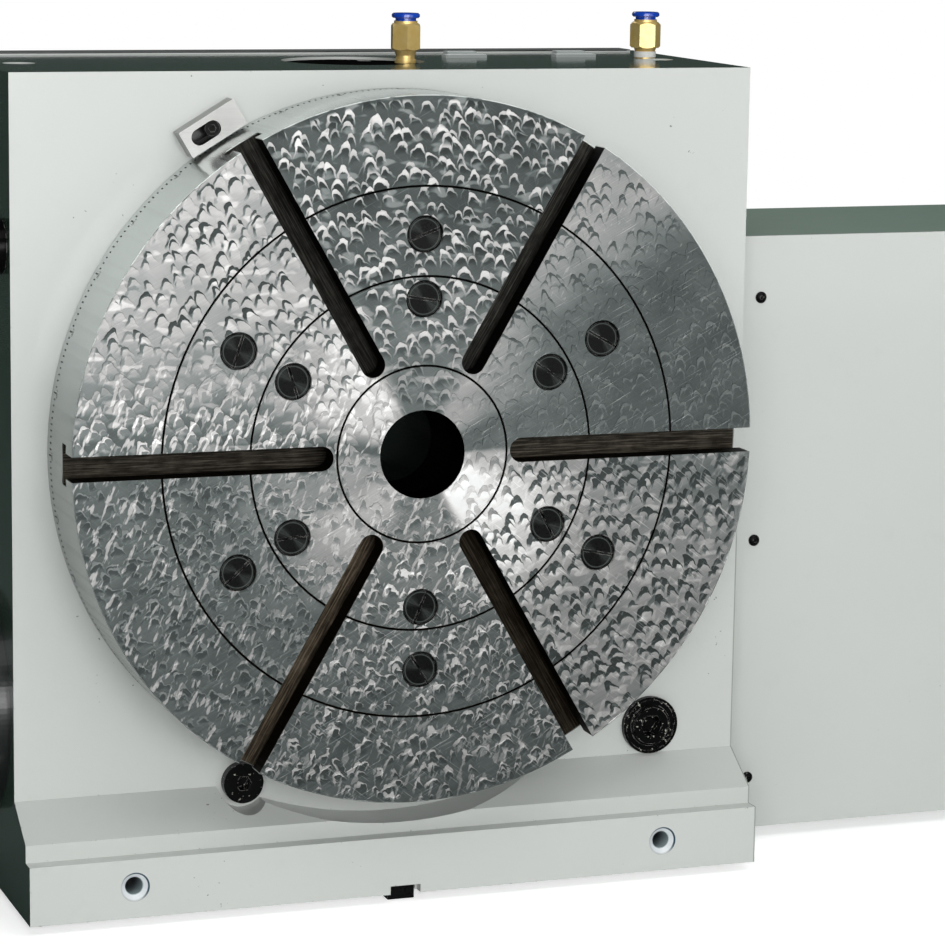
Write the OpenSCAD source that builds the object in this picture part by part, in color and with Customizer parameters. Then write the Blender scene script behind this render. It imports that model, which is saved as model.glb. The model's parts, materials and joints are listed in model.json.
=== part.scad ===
// Vertical rotary table with a worm drive.
// Origin: centre of the faceplate on its front face. +X right, +Y into the housing, +Z up.

/* [Faceplate] */
// Radius of the faceplate
plate_r = 200; // [190:1:205]
// Thickness of the faceplate
plate_t = 57.5; // [50:0.5:57.5]
// Radius of the faceplate's centre bore
bore_r = 25; // [15:0.5:25]
// Width of the T-slot mouths
slot_w = 14; // [12:1:18]
// Width of the T-slot heads
slot_head_w = 23; // [20:1:28]
// Depth from the face to the T-slot heads
slot_mouth_t = 14; // [10:0.5:16]
// Height of the T-slot heads
slot_head_t = 9; // [7:0.5:11]
// Radius at which the T-slots end near the centre
slot_end_r = 52; // [48:1:60]
// Radius of the outer circle of screw plugs
plug_ring_r = 123.2; // [115:0.1:130]
// Radius of the inner circle of screw plugs
plug_ring_inner_r = 87.2; // [80:0.1:92]

/* [Housing] */
// Width of the housing
body_w = 440; // [430:1:480]
// Height of the table axis above the base
centre_h = 260; // [250:1:280]
// Height of the housing above the table axis
top_h = 210; // [205:1:225]
// Distance from the faceplate's face to the housing's front face
front_y = 58; // [58:1:60]
// Distance from the faceplate's face to the housing's rear face
rear_y = 238; // [238:1:242]
// Distance from the faceplate's face to the foot's front face
foot_y = 20; // [15:1:24]
// Height of the foot's front face
foot_h = 34; // [28:1:38]

/* [Drive] */
// Tooth module of the worm and its wheel
worm_module = 3; // [3:3]
// Number of teeth of the worm wheel
wheel_teeth = 90; // [90:90]
// Pitch radius of the worm
worm_r = 20; // [20:20]
// Distance of the worm axis behind the faceplate's face
worm_y = 130; // [130:130]
// Tooth module of the spur gears
spur_module = 1.5; // [1.5:1.5]
// Number of teeth of the spur gear on the worm
worm_gear_teeth = 48; // [48:48]
// Number of teeth of the motor pinion
pinion_teeth = 24; // [24:24]
// Distance of the motor axis behind the faceplate's face
motor_y = 161; // [161:161]

/* [Motor box] */
// Length of the motor box along X
box_l = 280; // [250:5:320]
// Height of the motor box
box_h = 366; // [340:1:370]
// Distance from the faceplate's face to the motor box's front panel
box_y = 84; // [80:1:86]
// Sheet thickness of the motor box
sheet_t = 2; // [1.5:0.5:3]

/* [Hidden] */
$fn = 96;

// Finishes
paint = [0.82, 0.84, 0.83];
green = [0.20, 0.27, 0.23];
black = [0.03, 0.03, 0.035];
steel = [0.62, 0.63, 0.65];
dark_steel = [0.25, 0.25, 0.27];
brass = [0.75, 0.56, 0.2];
bronze = [0.66, 0.43, 0.2];
rubber = [0.08, 0.08, 0.08];
blue = [0.05, 0.2, 0.65];

// Derived places
side_x = body_w / 2;
base_z = -centre_h;
wheel_r = worm_module * wheel_teeth / 2;
wheel_w = 26;
worm_z = -(wheel_r + worm_r);
worm_pitch = PI * worm_module;
thread_thin = 0.4;
wheel_thin = 0.7;
spur_thin = 0.35;
spur_distance = spur_module * (worm_gear_teeth + pinion_teeth) / 2;
motor_z = worm_z + sqrt(pow(spur_distance, 2) - pow(motor_y - worm_y, 2));
spur_angle = atan2(motor_z - worm_z, motor_y - worm_y);
eps = 0.01;
fit = 0.05;
gap = 0.3;

// Plugs over the faceplate's bolts; the slots' angles go round from 30 degrees, outer ring first
plug_r = 10.05;
plug_y = 0.9;
plug_chamfer = 0.5;
plug_slot_w = 1.3;
plug_slot_angles = [[-30, 20, 72, 42, -58, -12], [-35, -10, -72, 6, 68, -62]];
bolt_y = 16;

// Foot profile
ledge_y = 30;
ledge_top_z = base_z + 44;
ramp_top_z = base_z + 62;
clearance_r = 220;

// Spindle line: radii, then places along Y
flange_r = 140;
flange_end_y = 76;
shaft_r = 75;
rear_shaft_r = 60;
rear_shaft_y = 192;
spindle_end_y = 232;
spindle_bore_r = 26;
seal_r = 150.5;
shoulder_y = 77;
front_bearing_y = 82;
front_bearing_w = 30;
front_race_r = 125;
front_roller_r = 7.8;
front_roller_ring_r = 100;
chamber_y = 112;
chamber_end_y = 152;
chamber_r = 148;
rear_bore_r = 130;
brake_disc_y = 160;
brake_ring_y = 166;
piston_y = 165.5;
piston_in_r = 95;
piston_out_r = 120;
rear_bearing_w = 22;
rear_race_r = 95;
rear_roller_r = 7.3;
rear_roller_ring_r = 77.5;
carrier_flange_y = 222;
carrier_r = 165;
rollers = 24;

// Worm line along X
worm_half_l = 30;
worm_journal_r = 15;
worm_bearing_x = 186;
worm_bearing_w = 16;
worm_race_r = 31;
worm_bore_r = 27;
worm_end_x = 256;
worm_cover_r = 64;
worm_ball_ring_r = 23;

// Motor line along X
case_x = side_x + 0.5;
case_screw_y = [97, 194];
case_screw_z = [worm_z - 38, worm_z + 72];
plate_x = 262;
motor_x = 272;
motor_half = 63;
motor_l = 150;
cap_l = 34;
gear_x = 236;
gear_w = 16;
motor_shaft_r = 9.5;

// Motor box
box_x = side_x + 0.8;
box_top_z = -centre_h + 2 + box_h;
box_bottom_z = -centre_h + 2;
panel_screw_x = [box_x + 22.2, box_x + box_l - 22.2];
panel_screw_z = [box_top_z - 37, box_top_z - 185.5, box_top_z - 334];

// Outside details
cover_x = 3.5;
cover_y = 143.5;
cover_r = 41;
cover_recess = 1.6;
left_fitting = [37, 146];
right_fitting = [194.7, 157.5];
fitting_hex_r = 9.4;
fitting_hex_z = 6.2;
fitting_hex_h = 15.6;
fitting_ring_z = 23.2;
collar_flange_r = 8.3;
collar_top_z = 27.7;
tab_x = [83, 153.5];
tab_y = 167;
lift_hole = [196, 140];
foot_hole_x = 160;
foot_hole_z = -242;
fill_plug = [165.4, -180.5];
drain_plug = [-87.8, -196];
side_glass = [81, 113];
key_w = 16;
key_l = 32;
key_y = [28.5, 202];
key_drop = 5.5;
keyway_t = 5;
zero_angle = 121.2;
zero_r = 209.5;

// Cylinder along Y
module bar_y(r, y0, y1) {
    translate([0, y0, 0]) rotate([-90, 0, 0]) cylinder(r = r, h = y1 - y0);
}

// Ring along Y
module ring_y(out_r, in_r, y0, y1) {
    difference() {
        bar_y(out_r, y0, y1);
        bar_y(in_r, y0 - 1, y1 + 1);
    }
}

// Cylinder along X on the axis at [y, z]
module bar_x(r, x0, x1, y = 0, z = 0) {
    translate([x0, y, z]) rotate([0, 90, 0]) cylinder(r = r, h = x1 - x0);
}

// Ring along X on the axis at [y, z]
module ring_x(out_r, in_r, x0, x1, y = 0, z = 0) {
    difference() {
        bar_x(out_r, x0, x1, y, z);
        bar_x(in_r, x0 - 1, x1 + 1, y, z);
    }
}

// Copies around the table axis, at radius r
module around_y(n, r, start = 0) {
    for (i = [0:n - 1]) rotate([0, -(start + i * 360 / n), 0]) translate([r, 0, 0]) children();
}

// Copies around an axis along X at [y, z], at radius r
module around_x(n, r, y, z, start = 0) {
    for (i = [0:n - 1])
        translate([0, y + r * cos(start + i * 360 / n), z + r * sin(start + i * 360 / n)]) children();
}

// Socket head screw along -Y: its head starts at y and its shank goes on towards +Y
module screw_y(r, y, l) {
    difference() {
        bar_y(r * 1.5, y, y + 2 * r);
        bar_y(r * 0.8, y - 1, y + r, $fn = 6);
    }
    bar_y(r, y + 2 * r - eps, y + 2 * r + l);
}

// Outline of an external gear, with one tooth centred on +X
function involute(a) = tan(a) - a * PI / 180;
function half_tooth(r, m, n, thin) =
    let (pitch_r = m * n / 2, base_r = pitch_r * cos(20), a = acos(min(1, base_r / max(r, base_r))))
    90 / n - thin / pitch_r * 90 / PI + (involute(20) - involute(a)) * 180 / PI;
function gear_points(m, n, thin) =
    let (pitch_r = m * n / 2, radii = [pitch_r - 1.25 * m, pitch_r, pitch_r + m])
    [for (i = [0:n - 1], s = [-1, 1], k = [0:2])
        let (r = radii[s < 0 ? k : 2 - k], a = i * 360 / n + s * half_tooth(r, m, n, thin))
        [r * cos(a), r * sin(a)]];

// Roller set of a bearing around the table axis
module roller_set(ring_r, r, y, w) {
    around_y(rollers, ring_r) bar_y(r, y + 3, y + w - 3, $fn = 32);
}

// ---- Housing and what is fixed to it ----

module housing_profile() {
    points = [[front_y, top_h], [rear_y, top_h], [rear_y, base_z], [foot_y, base_z],
        [foot_y, base_z + foot_h], [ledge_y, base_z + foot_h], [ledge_y, ledge_top_z],
        [front_y, ramp_top_z]];
    translate([-side_x, 0, 0]) rotate([90, 0, 90]) linear_extrude(height = body_w) polygon(points);
}

module housing_cavity() {
    wall = 24;
    floor_z = -100;
    front = 84;
    rear = 214;
    difference() {
        translate([-side_x + wall, front, floor_z])
            cube([body_w - 2 * wall, rear - front, top_h - wall - floor_z]);
        bar_y(front_race_r + 15, front - 1, chamber_y);
        bar_y(rear_bore_r + 15, chamber_end_y, rear + 1);
    }
}

module tapped_hole_y(x, z, r, rim_r, y, l) {
    translate([x, y, z]) rotate([-90, 0, 0]) cylinder(r = r, h = l);
    translate([x, y - eps, z]) rotate([-90, 0, 0]) cylinder(r1 = rim_r, r2 = r, h = rim_r - r);
}

module housing() {
    color(paint) difference() {
        housing_profile();
        bar_y(clearance_r, 0, front_y);
        housing_cavity();
        bar_y(seal_r, front_y - 1, shoulder_y);
        bar_y(122, shoulder_y - 1, front_bearing_y + 1);
        bar_y(front_race_r, front_bearing_y, chamber_y + 1);
        bar_y(chamber_r, chamber_y, chamber_end_y);
        bar_y(rear_bore_r, chamber_end_y - 1, carrier_flange_y + 1);
        bar_y(carrier_r, carrier_flange_y, rear_y + 1);
        // Worm line
        bar_x(worm_bore_r, -side_x - 1, side_x + 1, worm_y, worm_z);
        bar_x(worm_race_r, -side_x - 1, -worm_bearing_x, worm_y, worm_z);
        bar_x(worm_race_r, worm_bearing_x, side_x + 1, worm_y, worm_z);
        around_x(4, 52, worm_y, worm_z, 45) bar_x(3.2, -side_x - 1, -side_x + 18, $fn = 32);
        // Side sight glass
        bar_x(11.2, -side_x - 1, -side_x + 30, side_glass[0], side_glass[1]);
        // Top: cover seat, lifting holes and air ports
        translate([cover_x, cover_y, top_h - 8]) cylinder(r = cover_r + 1, h = 9);
        translate([cover_x, cover_y, top_h - 40]) cylinder(r = cover_r - 14, h = 41);
        for (s = [-1, 1]) translate([s * lift_hole[0], lift_hole[1], top_h]) {
            translate([0, 0, -22]) cylinder(r = 7, h = 23);
            translate([0, 0, -2.3]) cylinder(r1 = 7, r2 = 9.3, h = 2.3 + eps);
        }
        translate([right_fitting[0], right_fitting[1], top_h - 20]) cylinder(r = 6.4, h = 21);
        // Oil plugs and the clearance pocket around the drain plug
        translate([fill_plug[0], front_y - 1, fill_plug[1]]) rotate([-90, 0, 0]) cylinder(r = 12.2, h = 22);
        translate([drain_plug[0], 0, drain_plug[1]]) rotate([-90, 0, 0]) cylinder(r = 15, h = front_y);
        translate([drain_plug[0], front_y - 1, drain_plug[1]]) rotate([-90, 0, 0]) cylinder(r = 8.2, h = 22);
        // Tapped holes in the foot, zero block hole and keyway
        for (s = [-1, 1]) tapped_hole_y(s * foot_hole_x, foot_hole_z, 5.1, 8.2, foot_y, 30);
        rotate([0, -zero_angle, 0]) translate([zero_r, front_y - 1, 0])
            rotate([-90, 0, 0]) cylinder(r = 2.6, h = 14, $fn = 32);
        translate([-key_w / 2 - fit, foot_y - 1, base_z - 1])
            cube([key_w + 2 * fit, rear_y - foot_y + 2, keyway_t + 1]);
        translate([-9.1, foot_y - 1, base_z - 1]) cube([18.2, 8, keyway_t + 1]);
        for (y = key_y) translate([0, y + key_l / 2, base_z]) cylinder(r = 3.1, h = 20, $fn = 32);
    }
}

module front_seal() {
    color(rubber) difference() {
        ring_y(seal_r - fit, flange_r + 0.4, 62, 72);
        ring_y(seal_r - 2.5, flange_r + 3, 61, 68);
    }
}

module front_bearing_outer() {
    color(steel) ring_y(front_race_r - fit, front_roller_ring_r + front_roller_r + 0.2,
        front_bearing_y + fit, front_bearing_y + front_bearing_w);
}

module rear_bearing_outer() {
    color(steel) ring_y(rear_race_r - fit, rear_roller_ring_r + rear_roller_r + 0.2,
        rear_shaft_y + fit, rear_shaft_y + rear_bearing_w);
}

module rear_bearing_carrier() {
    color(green) difference() {
        union() {
            bar_y(rear_bore_r - fit, 190.5, carrier_flange_y + 1);
            bar_y(carrier_r - gap, carrier_flange_y + fit, rear_y);
        }
        bar_y(82, 190, 193);
        bar_y(rear_race_r, rear_shaft_y, rear_shaft_y + rear_bearing_w);
        bar_y(78, 213, rear_y + 1);
        bar_y(91, 233.9, rear_y + 1);
        around_y(8, 147, 22.5) {
            bar_y(4.3, carrier_flange_y - 1, rear_y + 1, $fn = 32);
            bar_y(6.8, 229.5, rear_y + 1, $fn = 32);
        }
    }
}

module carrier_screws() {
    color(dark_steel) around_y(8, 147, 22.5) difference() {
        union() {
            bar_y(6.4, 229.6, 237.6, $fn = 32);
            bar_y(4, carrier_flange_y + 0.1, 229.7, $fn = 32);
        }
        bar_y(3.5, 234, 239, $fn = 6);
    }
}

module rear_cover() {
    color(black) difference() {
        bar_y(90.6, 233.95, rear_y);
        bar_y(30, 233, rear_y + 1);
        around_y(6, 84, 0) bar_y(3.2, 235.5, rear_y + 1, $fn = 6);
    }
}

module brake_backing_ring() {
    color(dark_steel) ring_y(rear_bore_r - fit, 92, chamber_end_y + 0.5, brake_disc_y - 1.5);
}

module brake_cylinder() {
    color(dark_steel) difference() {
        ring_y(rear_bore_r - fit, 88, brake_ring_y, 190.4);
        ring_y(piston_out_r, piston_in_r, brake_ring_y - 1, 186);
    }
}

module top_cover() {
    color(black) difference() {
        translate([cover_x, cover_y, top_h - 7.9]) cylinder(r = cover_r, h = 7.9 - cover_recess);
        translate([left_fitting[0], left_fitting[1], top_h - 9]) cylinder(r = 6.4, h = 10);
        for (i = [0:2]) translate([cover_x, cover_y, top_h - cover_recess - 1.9]) rotate(60 + i * 120)
            translate([33, 0, 0]) cylinder(r = 4.6, h = 3);
    }
}

module top_cover_screws() {
    color(dark_steel) for (i = [0:2]) translate([cover_x, cover_y, top_h - cover_recess - 1.8])
        rotate(60 + i * 120) translate([33, 0, 0]) difference() {
            cylinder(r = 4.3, h = 1.7);
            translate([0, 0, 0.7]) cylinder(r = 2, h = 2, $fn = 6);
        }
}

module top_tabs() {
    color(paint) for (x = tab_x) translate([x, tab_y, top_h]) {
        translate([-13, 0, 0]) cube([26, 8, 1.8]);
        translate([-9.3, 7.9, 0]) cube([18.6, 8, 3.3]);
    }
}

module rear_strip() {
    color(black) difference() {
        translate([-side_x + 0.5, 215, top_h]) cube([body_w - 10, 22.5, 1.6]);
        translate([side_x - 9.5 - 4, 214, top_h - 1]) cube([5, 5, 4]);
    }
}

module worm_end_cover() {
    color(black) difference() {
        union() {
            bar_x(worm_cover_r, -side_x - 9, -side_x, worm_y, worm_z);
            bar_x(worm_race_r - fit, -side_x - 1, -side_x + 16, worm_y, worm_z);
        }
        bar_x(22, -side_x + 2, -side_x + 17, worm_y, worm_z);
        around_x(4, 52, worm_y, worm_z, 45) {
            bar_x(3.2, -side_x - 10, -side_x + 1, $fn = 32);
            bar_x(5.4, -side_x - 10, -side_x - 3, $fn = 32);
        }
    }
}

module worm_end_cover_screws() {
    color(dark_steel) around_x(4, 52, worm_y, worm_z, 45) difference() {
        union() {
            bar_x(5, -side_x - 8.6, -side_x - 3.1, $fn = 32);
            bar_x(3, -side_x - 3.2, -side_x + 15, $fn = 32);
        }
        bar_x(2.5, -side_x - 9, -side_x - 5.6, $fn = 6);
    }
}

module worm_bearings_outer() {
    color(steel) for (s = [0, 1]) mirror([s, 0, 0])
        ring_x(worm_race_r - fit, worm_ball_ring_r + 3, worm_bearing_x + 0.5,
            worm_bearing_x + 0.5 + worm_bearing_w, worm_y, worm_z);
}

module worm_shaft_seal() {
    color(rubber) ring_x(worm_race_r - fit, worm_journal_r + gap, 204, 212, worm_y, worm_z);
}

module side_sight_glass() {
    color(black) difference() {
        union() {
            bar_x(15.5, -side_x - 5, -side_x, side_glass[0], side_glass[1]);
            bar_x(11, -side_x - 1, -side_x + 14, side_glass[0], side_glass[1]);
        }
        bar_x(8, -side_x - 6, -side_x + 15, side_glass[0], side_glass[1]);
        bar_x(10, -side_x - 6, -side_x - 2, side_glass[0], side_glass[1]);
    }
}

module side_sight_lens() {
    color([0.8, 0.75, 0.5, 0.5])
        bar_x(9.9, -side_x - 4, -side_x - 2.05, side_glass[0], side_glass[1]);
}

module oil_fill_plug() {
    color(black) translate([fill_plug[0], front_y, fill_plug[1]]) rotate([90, 0, 0]) difference() {
        union() {
            cylinder(r = 17.3, h = 3.5);
            cylinder(r = 11, h = 5);
            translate([0, 0, -16]) cylinder(r = 12, h = 17);
        }
        translate([0, 0, -5]) cylinder(r = 7, h = 12, $fn = 6);
        translate([0, 0, 2.5]) difference() {
            cylinder(r = 15.5, h = 2);
            translate([0, 0, -1]) cylinder(r = 12.5, h = 4);
        }
    }
}

module oil_drain_plug() {
    color(black) translate([drain_plug[0], front_y, drain_plug[1]]) rotate([90, 0, 0]) difference() {
        union() {
            cylinder(r = 11.8, h = 6);
            translate([0, 0, -14]) cylinder(r = 8, h = 15);
        }
        translate([0, 0, -2]) cylinder(r = 4.6, h = 9, $fn = 6);
    }
}

module zero_block() {
    thick = 12;
    color(steel) rotate([0, -zero_angle, 0]) translate([0, front_y - thick, 0]) difference() {
        translate([zero_r - 8, 0, -18]) cube([16, thick, 36]);
        translate([zero_r, -1, 0]) rotate([-90, 0, 0]) {
            cylinder(r = 2.8, h = thick + 2, $fn = 32);
            cylinder(r = 4.6, h = 7);
            translate([0, -9, 0]) cylinder(r = 2.8, h = thick + 2, $fn = 32);
            translate([0, -9, 0]) cylinder(r = 4.6, h = 7);
            translate([-4.6, -9, 0]) cube([9.2, 9, 7]);
            translate([-2.8, -9, 0]) cube([5.6, 9, thick + 2]);
        }
    }
}

module zero_block_screw() {
    color(black) rotate([0, -zero_angle, 0]) translate([zero_r, front_y - 10.5, 0]) difference() {
        union() {
            bar_y(4.25, 0, 4.4, $fn = 32);
            bar_y(2.5, 4.3, 22, $fn = 32);
        }
        bar_y(2.2, -1, 2.6, $fn = 6);
    }
}

module base_keys() {
    color(black) for (y = key_y) difference() {
        translate([-key_w / 2, y, base_z - key_drop]) cube([key_w, key_l, key_drop + keyway_t]);
        translate([0, y + key_l / 2, base_z - key_drop - 1]) cylinder(r = 3.1, h = 20, $fn = 32);
        translate([0, y + key_l / 2, base_z - key_drop - 1]) cylinder(r = 5.3, h = 5.5, $fn = 32);
    }
}

module base_key_screws() {
    color(dark_steel) for (y = key_y) translate([0, y + key_l / 2, base_z - key_drop + 0.5]) {
        difference() {
            cylinder(r = 5, h = 4, $fn = 32);
            translate([0, 0, -1]) cylinder(r = 2.5, h = 3, $fn = 6);
        }
        translate([0, 0, 3.9]) cylinder(r = 3, h = 16, $fn = 32);
    }
}

// Push-in air fitting standing on the top at [x, y]
module air_fitting(at, hex_turn) {
    translate([at[0], at[1], top_h]) difference() {
        union() {
            // Hexagon with both ends chamfered
            intersection() {
                translate([0, 0, fitting_hex_z]) rotate(hex_turn)
                    cylinder(r = fitting_hex_r, h = fitting_hex_h, $fn = 6);
                union() {
                    translate([0, 0, fitting_hex_z - eps]) cylinder(r1 = 8.2, r2 = 9.6, h = 1.2);
                    translate([0, 0, fitting_hex_z + 1]) cylinder(r = 9.6, h = fitting_hex_h - 2.9);
                    translate([0, 0, fitting_hex_z + fitting_hex_h - 2])
                        cylinder(r1 = 9.6, r2 = 7.4, h = 2.1);
                }
            }
            // Ring around the collar, waisted neck and thread
            translate([0, 0, fitting_ring_z - 2]) cylinder(r = 6.9, h = 2);
            translate([0, 0, 2.9]) cylinder(r1 = 5.6, r2 = 6.9, h = fitting_hex_z - 2.8);
            translate([0, 0, 0.4]) cylinder(r = 5.6, h = 2.6);
            translate([0, 0, -6.5]) cylinder(r = 6.3, h = 7);
        }
        translate([0, 0, 3]) cylinder(r = 4.05, h = 22);
        translate([0, 0, 14]) cylinder(r = 6.4, h = 11);
        translate([0, 0, -8]) cylinder(r = 2.5, h = 12, $fn = 32);
    }
}

module air_fittings() {
    color(brass) {
        air_fitting(left_fitting, 18);
        air_fitting(right_fitting, 47);
    }
}

module thread_tape() {
    color([0.93, 0.93, 0.9]) translate([right_fitting[0], right_fitting[1], top_h + 0.6])
        difference() {
            cylinder(r = 6.7, h = 3.5);
            translate([0, 0, -1]) cylinder(r = 6.1, h = 6);
        }
}

module release_collar(at) {
    color(blue) translate([at[0], at[1], top_h]) difference() {
        union() {
            translate([0, 0, collar_top_z - 2.9]) cylinder(r1 = 7.5, r2 = collar_flange_r, h = 0.8);
            translate([0, 0, collar_top_z - 2.2]) cylinder(r = collar_flange_r, h = 1.5);
            translate([0, 0, collar_top_z - 0.8]) cylinder(r1 = collar_flange_r, r2 = 7.5, h = 0.8);
            translate([0, 0, 17]) cylinder(r = 6.1, h = collar_top_z - 19);
        }
        translate([0, 0, 16]) cylinder(r = 4.4, h = 14);
    }
}

module left_release_collar() {
    release_collar(left_fitting);
}

module right_release_collar() {
    release_collar(right_fitting);
}

module gear_case() {
    color(dark_steel) difference() {
        translate([case_x, 91.5, worm_z - 44]) cube([plate_x - case_x - 0.1, 108.5, 122]);
        translate([case_x + 5, 0, 0]) rotate([90, 0, 90]) {
            translate([worm_y, worm_z, 0]) cylinder(r = 39.5, h = 50);
            translate([motor_y, motor_z, 0]) cylinder(r = 23, h = 50);
        }
        bar_x(worm_journal_r + 1, case_x - 1, plate_x, worm_y, worm_z);
        for (y = case_screw_y, z = case_screw_z) bar_x(3.2, case_x - 1, plate_x + 1, y, z, $fn = 32);
    }
}

module motor_plate() {
    color(dark_steel) difference() {
        translate([plate_x, 91.5, worm_z - 44]) cube([motor_x - plate_x, 142, 132]);
        bar_x(25, plate_x - 1, motor_x + 1, motor_y, motor_z);
        for (y = case_screw_y, z = case_screw_z) bar_x(3.2, plate_x - 1, motor_x + 1, y, z, $fn = 32);
        around_x(4, 72.5, motor_y, motor_z, 45) bar_x(4.2, plate_x - 1, motor_x + 1, $fn = 32);
    }
}

module gear_case_screws() {
    color(dark_steel) for (y = case_screw_y, z = case_screw_z)
        bar_x(3, case_x + 1, motor_x - 0.2, y, z, $fn = 32);
}

module motor_body() {
    half = motor_half;
    color(black) difference() {
        union() {
            translate([motor_x + 0.1, motor_y - half, motor_z - half]) cube([12, 2 * half, 2 * half]);
            intersection() {
                translate([motor_x + 12, motor_y - half + 4, motor_z - half + 4])
                    cube([motor_l - 12, 2 * half - 8, 2 * half - 8]);
                bar_x(65, motor_x + 11, motor_x + motor_l, motor_y, motor_z);
            }
        }
        bar_x(motor_shaft_r + 0.4, motor_x - 1, motor_x + 16, motor_y, motor_z);
        bar_x(42, motor_x + 15, motor_x + motor_l - 8, motor_y, motor_z);
        around_x(4, 72.5, motor_y, motor_z, 45) bar_x(4.2, motor_x - 1, motor_x + 13, $fn = 32);
        for (s = [-1, 1], d = [-30:12:30])
            translate([motor_x + 18, motor_y + d - 2, motor_z + s * (half - 4) - (s > 0 ? 3 : 0)])
                cube([motor_l - 28, 4, 3]);
    }
}

module motor_end_cap() {
    half = motor_half - 8;
    color(dark_steel) difference() {
        translate([motor_x + motor_l + 0.1, motor_y - half, motor_z - half]) cube([cap_l, 2 * half, 2 * half]);
        bar_x(48, motor_x + motor_l - 1, motor_x + motor_l + 20, motor_y, motor_z);
    }
}

module motor_connectors() {
    half = motor_half;
    color(dark_steel) for (x = [motor_x + 60, motor_x + 120]) {
        translate([x - 14, motor_y - 14, motor_z + half - 4]) cube([28, 28, 16]);
        bar_x(9, x + 14 - eps, x + 32, motor_y, motor_z + half + 5.5);
    }
}

module motor_screws() {
    color(dark_steel) around_x(4, 72.5, motor_y, motor_z, 45) {
        bar_x(6, motor_x + 12.2, motor_x + 20, $fn = 32);
        bar_x(4, plate_x + 0.5, motor_x + 12.3, $fn = 32);
    }
}

module motor_box() {
    shell_y = box_y + sheet_t;
    lip = 18;
    color(green) difference() {
        translate([box_x, shell_y, box_bottom_z]) cube([box_l, rear_y - shell_y, box_h]);
        translate([box_x + sheet_t, shell_y + sheet_t, box_bottom_z + sheet_t])
            cube([box_l - 2 * sheet_t, rear_y - shell_y - 2 * sheet_t, box_h - 2 * sheet_t]);
        translate([box_x + 34, shell_y - 1, box_bottom_z + lip])
            cube([box_l - 68, sheet_t + 2, box_h - 2 * lip]);
        // Opening in the left wall for the gear case
        translate([box_x - 1, 91.3, worm_z - 44.5]) cube([sheet_t + 2, 109, 123]);
        // Gland holes in the rear wall
        for (z = [-140, -190]) translate([box_x + 235, rear_y - sheet_t - 1, z]) rotate([-90, 0, 0])
            cylinder(r = 10.2, h = sheet_t + 2);
        for (x = panel_screw_x, z = panel_screw_z) translate([x, shell_y - 1, z]) rotate([-90, 0, 0])
            cylinder(r = 2.1, h = sheet_t + 2, $fn = 32);
    }
}

module motor_box_panel() {
    color(paint) difference() {
        translate([box_x, box_y, box_bottom_z]) cube([box_l, sheet_t - 0.05, box_h]);
        for (x = panel_screw_x, z = panel_screw_z) translate([x, box_y - 1, z]) rotate([-90, 0, 0])
            cylinder(r = 2.1, h = sheet_t + 2, $fn = 32);
    }
}

module motor_box_screws() {
    color(black) for (x = panel_screw_x, z = panel_screw_z) translate([x, box_y, z]) rotate([90, 0, 0])
        difference() {
            union() {
                intersection() {
                    cylinder(r = 3.5, h = 2.4, $fn = 32);
                    translate([0, 0, -2]) sphere(r = 4.4, $fn = 32);
                }
                translate([0, 0, -7]) cylinder(r = 2, h = 7.1, $fn = 32);
            }
            translate([0, 0, 1]) cylinder(r = 1.4, h = 3, $fn = 6);
        }
}

module cable_glands() {
    color(black) for (z = [-140, -190]) translate([box_x + 235, rear_y, z]) rotate([-90, 0, 0]) difference() {
        union() {
            translate([0, 0, -8]) cylinder(r = 10, h = 9);
            translate([0, 0, -sheet_t - 4]) cylinder(r = 14, h = 3.9, $fn = 6);
            cylinder(r = 14, h = 5, $fn = 6);
            translate([0, 0, 4.9]) cylinder(r = 11, h = 10);
        }
        translate([0, 0, -9]) cylinder(r = 5, h = 30);
    }
}

// ---- Table: everything that turns with the faceplate ----

module t_slot() {
    centre = slot_end_r + slot_w / 2;
    length = plate_r + 10 - centre;
    head_end = slot_mouth_t + slot_head_t;
    translate([centre, -1, 0]) rotate([-90, 0, 0]) cylinder(d = slot_w, h = head_end + 1);
    translate([centre, -1, -slot_w / 2]) cube([length, head_end + 1, slot_w]);
    translate([centre, slot_mouth_t, 0]) rotate([-90, 0, 0]) cylinder(d = slot_head_w, h = slot_head_t);
    translate([centre, slot_mouth_t, -slot_head_w / 2]) cube([length, slot_head_t, slot_head_w]);
}

module faceplate() {
    color(steel) difference() {
        bar_y(plate_r, 0, plate_t);
        bar_y(bore_r, -1, plate_t + 1);
        for (r = [50, 100, 150]) ring_y(r + 0.65, r - 0.65, -1, 1);
        for (i = [0:5]) rotate([0, -i * 60, 0]) t_slot();
        for (r = [plug_ring_r, plug_ring_inner_r]) around_y(6, r, 30) {
            bar_y(plug_r + 0.15, -1, bolt_y + 12);
            translate([0, -eps, 0]) rotate([-90, 0, 0])
                cylinder(r1 = plug_r + 0.15 + plug_chamfer, r2 = plug_r + 0.15, h = plug_chamfer);
            bar_y(6.6, bolt_y + 11, plate_t + 1);
        }
    }
}

module bolt_plugs() {
    color(black) for (k = [0, 1], i = [0:5]) rotate([0, -(30 + 60 * i), 0])
        translate([[plug_ring_r, plug_ring_inner_r][k], 0, 0])
            rotate([0, 30 + 60 * i - plug_slot_angles[k][i], 0]) difference() {
                union() {
                    bar_y(plug_r, plug_y + 0.5, 9);
                    translate([0, plug_y, 0]) rotate([-90, 0, 0]) cylinder(r1 = plug_r - 0.5, r2 = plug_r, h = 0.51);
                }
                translate([-plug_r - 1, 0, -plug_slot_w / 2]) cube([2 * plug_r + 2, plug_y + 2, plug_slot_w]);
            }
}

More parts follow.
